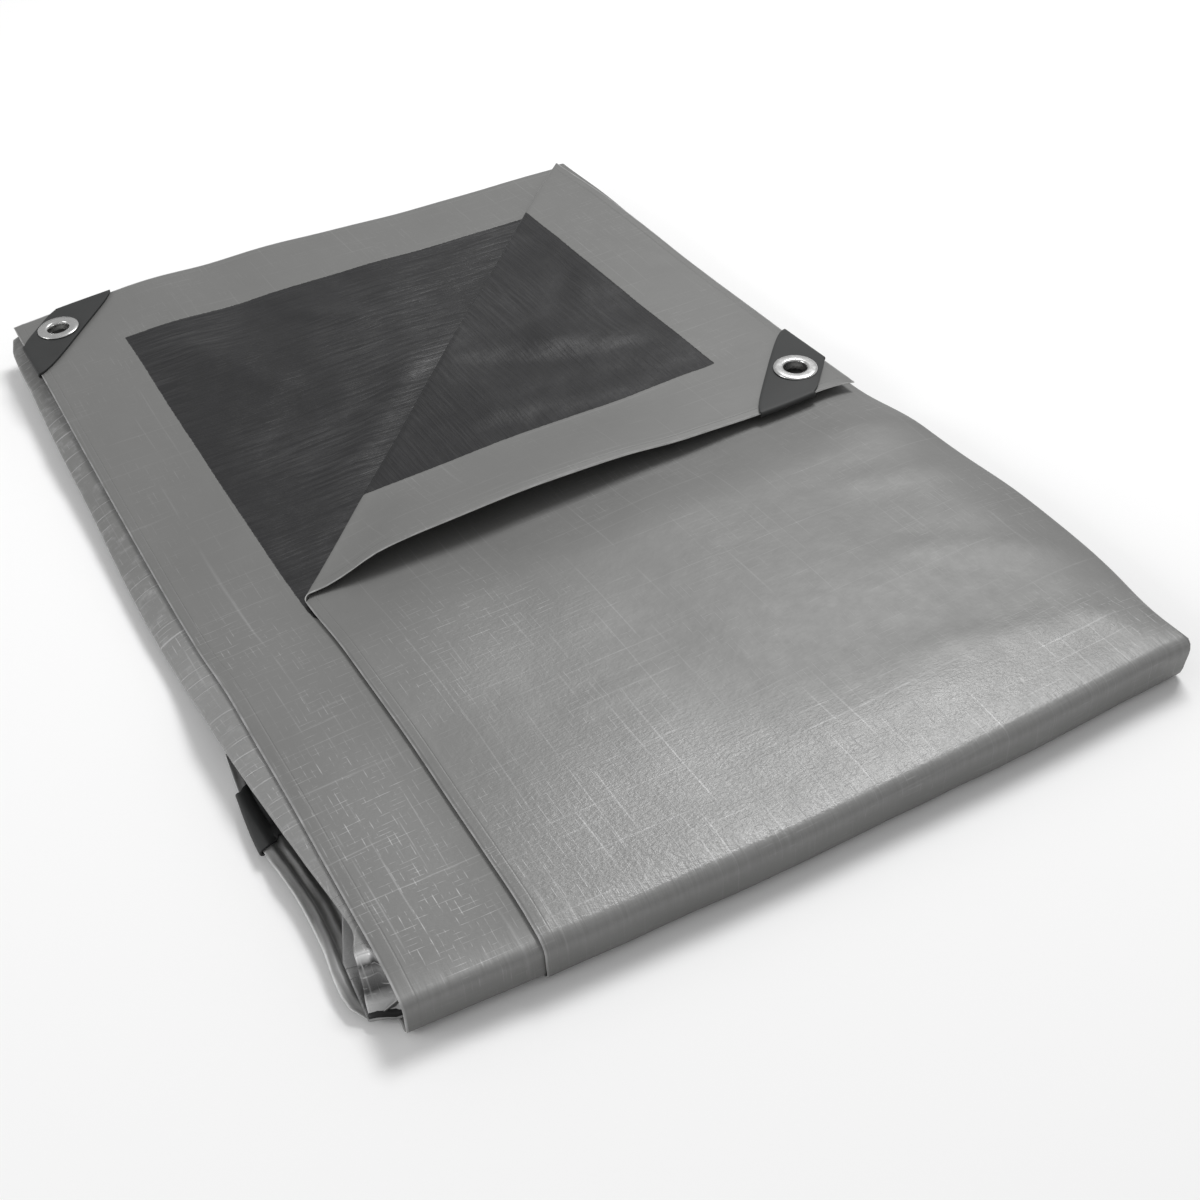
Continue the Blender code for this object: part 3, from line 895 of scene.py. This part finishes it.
def silver_finish():
    """Face of the sheet: silver-grey laminate over woven tapes."""
    finish = Finish("silver_laminate", Metallic=0.15, Specular_IOR_Level=0.5)
    relief, glint, wear_and_sheen_here = weave(finish)
    inset, rim, weld = edge_highlight_and_weld(finish)
    band = finish.mark("band")
    on_band = band.math("MINIMUM", 1.0)
    cloud = finish.grain(finish.uv(), 0.02, 3.0, 0.55)
    shade = finish.blend(cloud, (0.155, 0.155, 0.151, 1), (0.190, 0.190, 0.186, 1))
    strokes = front_strokes(finish)
    wrinkles = band_creases_and_highlights(finish) * on_band
    foil, on_foil = foil_light_and_shade(finish, band)
    pleats, outer, hollow_painted_shadow = strip_pleats_light_and_shade(finish, inset, cloud)
    # Painted light and shade of the crumpled end of the middle layers.
    shade = finish.blend(on_foil, shade, foil)
    # Painted shadow in the strip's hollow under the band.
    shade = finish.blend(hollow_painted_shadow, shade, (0.02, 0.02, 0.02, 1))
    # Painted highlight on the band at the left.
    band_painted_highlight = on_band * wear_and_sheen_here * (1.0 - on_foil) * 0.5
    # On the top layer: wear together with painted sheen.
    top_wear_and_painted_sheen = (1.0 - on_band) * wear_and_sheen_here * 0.16
    # Painted light: glints, rim highlight, crease highlights, the strip's lit outer part, pleat
    # shading, front strokes.
    light = glint * 0.75 + rim * 0.75 + wrinkles * 0.8 + band_painted_highlight + top_wear_and_painted_sheen + outer
    light = (light + pleats * 0.28 + strokes * 0.35).clamped()
    finish.set(Base_Color=finish.blend(light, shade, (0.50, 0.50, 0.50, 1)))
    rubbed = finish.grain(finish.uv(), 0.11, 4.0, 0.6)
    finish.set(Roughness=rubbed * 0.16 + 0.42 - wear_and_sheen_here * 0.12)
    crumple = finish.grain(finish.uv(), 0.06, 3.0, 0.55)
    soft = finish.bump(crumple, 0.9, 0.35)
    folds = wrinkles * 1.5 + pleats * 2.4 + strokes * 1.2
    grooved = finish.bump(weld * -0.4 + folds, 0.3, 0.8, under=soft)
    finish.set(Normal=finish.bump(relief, 0.26, 0.85, under=grooved))
    return finish.material


def edge_finish():
    """Cut edge of the laminate."""
    return Finish("cut_edge", Base_Color=(0.62, 0.62, 0.61, 1.0), Roughness=0.35).material


def reverse_finish():
    """Reverse of the sheet: black, with the silver hem turned onto it."""
    finish = Finish("black_reverse", Specular_IOR_Level=0.42)
    relief, glint, wear_and_sheen_here = weave(finish)
    inset, rim, weld = edge_highlight_and_weld(finish)
    edge = finish.grain(finish.uv(), 0.5, 2.0, 0.6) * 0.8 + inset
    hem = edge.math("LESS_THAN", HEM)
    cloud = finish.grain(finish.uv(), 0.018, 4.0, 0.6)
    brushed_sheen = finish.grain(finish.uv(stretch=(0.03, 0.42, 1.0)), 1.0, 4.0, 0.65)
    brushed_sheen = finish.ramp(brushed_sheen, ((0.42, 0.0), (0.68, 1.0)))
    zone = finish.ramp(finish.grain(finish.uv(), 0.012, 2.0, 0.5), ((0.42, 0.1), (0.6, 1.0)))
    # The black is painted lighter along brushed streaks as sheen, in random patches.
    black = finish.blend(brushed_sheen * zone, (0.009, 0.009, 0.010, 1), (0.034, 0.034, 0.035, 1))
    silver = finish.blend(cloud, (0.158, 0.158, 0.154, 1), (0.188, 0.188, 0.184, 1))
    # Painted highlights on the silver hem: rim, glints and front strokes, with wear and painted
    # sheen.
    light = rim * 0.8 + glint * 0.6 + front_strokes(finish) * 0.35 + wear_and_sheen_here * 0.10
    silver = finish.blend(light.math("MINIMUM", 1.0), silver, (0.55, 0.55, 0.55, 1))
    rubbed = finish.grain(finish.uv(), 0.11, 4.0, 0.6)
    finish.set(
        Base_Color=finish.blend(hem, black, silver),
        Roughness=rubbed * 0.18 + 0.30 + hem * 0.12,
        Metallic=hem * 0.12,
    )
    step = ((edge - HEM) * -1.4 + 0.5).clamped()
    crumple = finish.grain(finish.uv(), 0.06, 3.0, 0.55)
    broad = finish.grain(finish.uv(), 0.022, 2.0, 0.5) * (1.0 - hem)
    soft = finish.bump(crumple * 0.5 + broad * 4.0, 1.6, 0.35)
    raised = finish.bump(step - weld * 0.4, 0.35, 1.0, under=soft)
    fine = brushed_sheen * (1.0 - hem) + relief * (hem * 0.7 + 0.3) + front_strokes(finish) * 2.0
    finish.set(Normal=finish.bump(fine, 0.16, 0.7, under=raised))
    return finish.material


def patch_finish():
    """Moulded black plastic with a fine grain."""
    finish = Finish("black_plastic", Specular_IOR_Level=0.25)
    place = finish.add("ShaderNodeTexCoord", out="Object")
    fine = finish.grain(place, 1500.0, 2.0, 0.6)
    cloud = finish.grain(place, 60.0, 3.0, 0.6)
    shade = finish.blend(cloud, (0.030, 0.031, 0.031, 1), (0.044, 0.045, 0.045, 1))
    finish.set(Base_Color=shade, Roughness=cloud * 0.12 + 0.5)
    finish.set(Normal=finish.bump(fine, 0.08, 0.5))
    return finish.material


def eyelet_finish():
    """Pressed aluminium, faintly clouded."""
    finish = Finish("pressed_aluminium", Metallic=1.0)
    place = finish.add("ShaderNodeTexCoord", out="Object")
    cloud = finish.grain(place, 300.0, 4.0, 0.7)
    shade = finish.blend(cloud, (0.62, 0.62, 0.62, 1), (0.80, 0.80, 0.79, 1))
    finish.set(Base_Color=shade, Roughness=cloud * 0.2 + 0.16)
    finish.set(Normal=finish.bump(cloud, 0.05, 0.35))
    return finish.material


def add_piece(name, mesh, finishes, rounded=True):
    """Put a bmesh in an object of its own, in metres."""
    data = bpy.data.meshes.new(name)
    mesh.to_mesh(data)
    mesh.free()
    for finish in finishes:
        data.materials.append(finish)
    if rounded:
        data.shade_smooth()
    made = bpy.data.objects.new(name, data)
    bpy.context.scene.collection.objects.link(made)
    return made


def laid_out(rows, columns):
    """Grid of the sheet on its folds, with what the finishes read from its points."""
    mesh = bmesh.new()
    bmesh.ops.create_grid(mesh, x_segments=len(columns) - 1, y_segments=len(rows) - 1, size=0.5)
    marks = mesh.verts.layers.int.new("top_layer")
    inset_layer = mesh.verts.layers.float.new("edge_distance")
    wear_and_sheen_layer = mesh.verts.layers.float.new("wear_and_sheen")
    band_layer = mesh.verts.layers.float.new("band")
    strip_layer = mesh.verts.layers.float.new("strip")
    front_layer = mesh.verts.layers.float.new("front_crease")
    flat_layer = mesh.verts.layers.float_vector.new("flat_place")
    for vert in mesh.verts:
        row = rows[round((vert.co.y + 0.5) * (len(rows) - 1))]
        layer, share, inset = columns[round((vert.co.x + 0.5) * (len(columns) - 1))]
        vert.co = row.point(layer, share, inset)
        across, free = row.cloth(layer, vert.co.x)
        vert[inset_layer] = free
        vert[wear_and_sheen_layer] = wear_and_sheen(row, layer, vert.co)
        if layer in MIDDLE_LAYERS and vert.co.x < BAND_MARK:
            vert[band_layer] = 1.0 + row.way
        if layer == "A" and row.length >= LAST_RUN:
            vert[strip_layer] = smooth((STRIP_FROM + 4.0 - vert.co.x) / 4.0)
        if layer in ("A", "B"):
            vert[front_layer] = exp(-(((row.length - TOP_END) / 6.0) ** 2))
        vert[flat_layer] = (across, row.length, 0.0)
        vert[marks] = int(layer == "B" and row.top)
    return mesh, marks, flat_layer


def cut_along_fold(mesh, marks):
    """Rows of points in the top layer along the diagonal, where it turns."""
    for cut in FOLD_CUTS:
        top = [face for face in mesh.faces if all(vert[marks] for vert in face.verts)]
        edges = {edge for face in top for edge in face.edges}
        verts = {vert for face in top for vert in face.verts}
        made = bmesh.ops.bisect_plane(
            mesh,
            geom=[*top, *edges, *verts],
            dist=1e-3,
            plane_co=(*(FOLD_START + FOLD_BEYOND * cut), 0.0),
            plane_no=(*FOLD_BEYOND, 0.0),
        )
        for item in made["geom_cut"]:
            if isinstance(item, bmesh.types.BMVert):
                item[marks] = 1


def make_sheet(silver, reverse, edge):
    """The whole sheet on its folds, with the top corner turned back."""
    rows = [Row(length) for length in length_stations()]
    mesh, marks, flat_layer = laid_out(rows, width_stations())
    cut_along_fold(mesh, marks)
    b_edge = rows[0].span["b_edge"]
    uv_layer = mesh.loops.layers.uv.new("UVMap")
    for face in mesh.faces:
        face.smooth = True
        for loop in face.loops:
            loop[uv_layer].uv = loop.vert[flat_layer].xy * MM
    for vert in mesh.verts:
        if vert[marks]:
            vert.co = turned(vert.co, b_edge)
        vert.co = (vert.co - CENTRE) * MM
    sheet = add_piece("tarp_sheet", mesh, (silver, reverse, edge))
    shell = sheet.modifiers.new("Laminate", "SOLIDIFY")
    shell.thickness = SHEET * MM
    shell.offset = 0.0
    shell.material_offset = 1
    shell.material_offset_rim = 2
    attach(sheet, "root")
    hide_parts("sheet")
    width = max(row.cloth("B", row.span["b_edge"])[0] for row in rows)
    width * MM
    return sheet


def back_left_corner(along_side, along_end):
    """Sheet near the visible corner at the back left."""
    row = Row(max(0.0, along_end))
    point = row.point("A", 0.0, max(0.0, along_side))
    point.z -= edge_ridge(along_side) + edge_ridge(along_end)
    return point - Vector((max(0.0, -along_side), min(0.0, along_end), 0.0))


def turned_corner(along_side, along_end):
    """Sheet near the corner that is turned back."""
    row = Row(0.0)
    x = row.span["b_edge"] + along_side
    y = BACK - along_end
    point = turned(Vector((x, y, top_height(x, y))), row.span["b_edge"])
    point.z -= edge_ridge(along_side) + edge_ridge(along_end)
    return point


def hidden_end_corner(along_side, along_end):
    """Sheet near the corner whose hem hangs out at the left."""
    row = Row(WHOLE - max(0.0, along_end))
    point = row.point("A", 0.0, along_side)
    point.y -= min(0.0, along_end)
    return point


def corner_frame(corner, along_side, along_end):
    """Point of the sheet and its normal, near a corner."""
    step = 1.0
    point = corner(along_side, along_end)
    first = corner(along_side + step, along_end) - corner(along_side - step, along_end)
    second = corner(along_side, along_end + step) - corner(along_side, along_end - step)
    return point, first.cross(second).normalized()


def make_patch(name, corner, finish, swell_height):
    """A sleeve round the hem corner, from edge to edge, leaving the tip bare."""
    plate, turn, across = 30, 6, 16
    around = 2 * (plate + turn)
    offset = HALF + GAP + PATCH / 2
    mesh = bmesh.new()
    bmesh.ops.create_grid(mesh, x_segments=around, y_segments=across, size=0.5)
    for vert in mesh.verts:
        step = round((vert.co.x + 0.5) * around) % around
        strip = round((vert.co.y + 0.5) * across) / across
        half, step = divmod(step, plate + turn)
        place = min(step, plate) / plate
        place = 1 - place if half else place
        middle = 4 * place * (1 - place)
        reach = PATCH_NEAR + (PATCH_FAR - PATCH_NEAR) * strip
        reach -= (strip - 0.35) * 5.0 * (1 - middle) ** 3
        along_side = reach * place
        along_end = reach - along_side
        angle = max(0, step - plate) * pi / turn
        if place == 0:
            along_side = -offset * sin(angle)
        if place == 1:
            along_end = -offset * sin(angle)
        point, normal = corner_frame(corner, along_side, along_end)
        lift = swell_height * middle * (1 - (2 * strip - 1) ** 2) if not half else 0.0
        vert.co = (point + normal * (offset * cos(angle) * (1 - 2 * half) + lift) - CENTRE) * MM
    bmesh.ops.remove_doubles(mesh, verts=mesh.verts, dist=1e-6)
    bmesh.ops.recalc_face_normals(mesh, faces=mesh.faces)
    patch = add_piece("tarp_" + name, mesh, (finish,))
    shell = patch.modifiers.new("Plastic", "SOLIDIFY")
    shell.thickness = PATCH * MM
    shell.offset = 0.0
    edge = patch.modifiers.new("Edge", "BEVEL")
    edge.width = 0.25 * MM
    edge.segments = 2
    edge.limit_method = "ANGLE"
    edge.angle_limit = radians(50)
    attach(patch, "root")
    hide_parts(name)
    return patch


def eyelet_place(corner):
    """Matrix that sets a ring or a hole square on the sheet near a corner."""
    point, normal = corner_frame(corner, EYELET_INSET, EYELET_INSET)
    turn = normal.to_track_quat("Z", "Y").to_matrix().to_4x4()
    return Matrix.Translation((point - CENTRE) * MM) @ turn @ Matrix.Scale(MM, 4)


def eyelet_section():
    """Closed outline of the pressed ring: radius and height, from the barrel's foot upwards."""
    seat = HALF + PATCH + 0.5
    bore, neck = BORE / 2, NECK / 2
    rim = FLANGE / 2 - FLANGE_ROUND
    throat = [(7.3 - 1.3 * sin(t), seat + 0.1 + 1.0 * cos(t)) for t in spaced(pi / 2, 0, 0.26)]
    dome = [
        (rim + FLANGE_ROUND * sin(t), seat + 0.2 + 0.9 * cos(t) ** 0.8)
        for t in spaced(0, pi / 2, 0.26)
    ]
    washer = [(11.0, -seat), (11.2, -seat - 0.3), (10.8, -seat - 0.7), (7.6, -seat - 0.8)]
    rows = [(bore, -seat - 0.3), (bore, 0.0), *throat, *dome, (11.2, seat), (10.6, seat - 0.1)]
    return rows + [(neck, seat - 0.1), (neck, -seat), *washer, (6.4, -seat - 0.7)]


def make_eyelet(name, corner, finish):
    """A pressed ring: a domed flange above, a washer below and a barrel between."""
    mesh = bmesh.new()
    verts = [mesh.verts.new((radius, 0.0, height)) for radius, height in eyelet_section()]
    edges = [mesh.edges.new(pair) for pair in zip(verts, verts[1:] + verts[:1])]
    bmesh.ops.spin(
        mesh,
        geom=verts + edges,
        cent=(0, 0, 0),
        axis=(0, 0, 1),
        angle=2 * pi,
        steps=64,
        use_merge=True,
    )
    bmesh.ops.remove_doubles(mesh, verts=mesh.verts, dist=1e-4)
    bmesh.ops.recalc_face_normals(mesh, faces=mesh.faces)
    bmesh.ops.transform(mesh, matrix=eyelet_place(corner), verts=mesh.verts)
    eyelet = add_piece("tarp_" + name, mesh, (finish,))
    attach(eyelet, "root")
    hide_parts(name)


def cut_hole(corner, pieces):
    """A round hole through the patch and the hem."""
    mesh = bmesh.new()
    bmesh.ops.create_cone(mesh, cap_ends=True, segments=48, radius1=HOLE, radius2=HOLE, depth=5.0)
    bmesh.ops.transform(mesh, matrix=eyelet_place(corner), verts=mesh.verts)
    cutter = add_piece("hole_cutter", mesh, (), rounded=False)
    for piece in pieces:
        cut = piece.modifiers.new("Eyelet hole", "BOOLEAN")
        cut.operation = "DIFFERENCE"
        cut.object = cutter
        bpy.context.view_layer.objects.active = piece
        bpy.ops.object.modifier_move_to_index(modifier=cut.name, index=1)
    return cutter


def apply_modifiers(piece):
    """Make the shape of the modifiers the piece's own mesh."""
    graph = bpy.context.evaluated_depsgraph_get()
    made = bpy.data.meshes.new_from_object(piece.evaluated_get(graph), depsgraph=graph)
    piece.modifiers.clear()
    piece.data = made


def make_floor():
    """A plain pale floor."""
    finish = Finish("pale_floor", Base_Color=(0.93, 0.93, 0.93, 1.0), Roughness=0.9)
    mesh = bmesh.new()
    bmesh.ops.create_grid(mesh, x_segments=1, y_segments=1, size=6.0)
    floor = add_piece("floor", mesh, (finish.material,), rounded=False)


def area_light(name, place, size, power):
    """A soft box aimed at the middle of the bundle."""
    data = bpy.data.lights.new(name, "AREA")
    data.shape = "RECTANGLE"
    data.size, data.size_y = size
    data.energy = power
    lamp = bpy.data.objects.new(name, data)
    lamp.location = place
    lamp.rotation_euler = (-Vector(place)).to_track_quat("-Z", "Y").to_euler()
    bpy.context.scene.collection.objects.link(lamp)


def make_light():
    """Soft studio light, strongest from above, at the right and behind."""
    world = bpy.data.worlds.new("studio")
    world.use_nodes = True
    background = world.node_tree.nodes["Background"].inputs
    background["Color"].default_value = (1.0, 1.0, 1.0, 1.0)
    background["Strength"].default_value = WORLD_LIGHT
    bpy.context.scene.world = world
    area_light("key", (1.0, 0.6, 1.7), (0.9, 0.6), 28.0)
    area_light("fill", (-1.7, 0.3, 0.8), (1.0, 0.8), 10.0)


def make_camera():
    """The photograph's viewpoint."""
    data = bpy.data.cameras.new("camera")
    data.lens = LENS
    data.sensor_width = SENSOR
    data.clip_start = 0.01
    data.clip_end = 30.0
    camera = bpy.data.objects.new("camera", data)
    turn = Matrix.Rotation(radians(CAMERA_HEADING), 4, "Z")
    turn = turn @ Matrix.Rotation(radians(90 - CAMERA_DOWN), 4, "X")
    turn = turn @ Matrix.Rotation(radians(CAMERA_ROLL), 4, "Z")
    camera.matrix_world = Matrix.Translation(Vector(CAMERA_AT) * MM) @ turn
    bpy.context.scene.collection.objects.link(camera)
    bpy.context.scene.camera = camera


def main():
    """Dress the folded tarp and set the scene."""
    silver = silver_finish()
    reverse = reverse_finish()
    plastic = patch_finish()
    metal = eyelet_finish()
    sheet = make_sheet(silver, reverse, edge_finish())
    cutters = []
    patches = []
    for side, corner in (("left", back_left_corner), ("right", turned_corner)):
        patch = make_patch("patch_" + side, corner, plastic, 0.5)
        patches.append(patch)
        make_eyelet("eyelet_" + side, corner, metal)
        cutters.append(cut_hole(corner, (sheet, patch)))
    make_patch("patch_lower", hidden_end_corner, plastic, 0.0)
    for piece in (sheet, *patches):
        apply_modifiers(piece)
    for cutter in cutters:
        bpy.data.objects.remove(cutter)
    make_floor()
    make_light()
    make_camera()
    bpy.context.scene.view_settings.view_transform = "Standard"
    bpy.context.view_layer.update()


main()
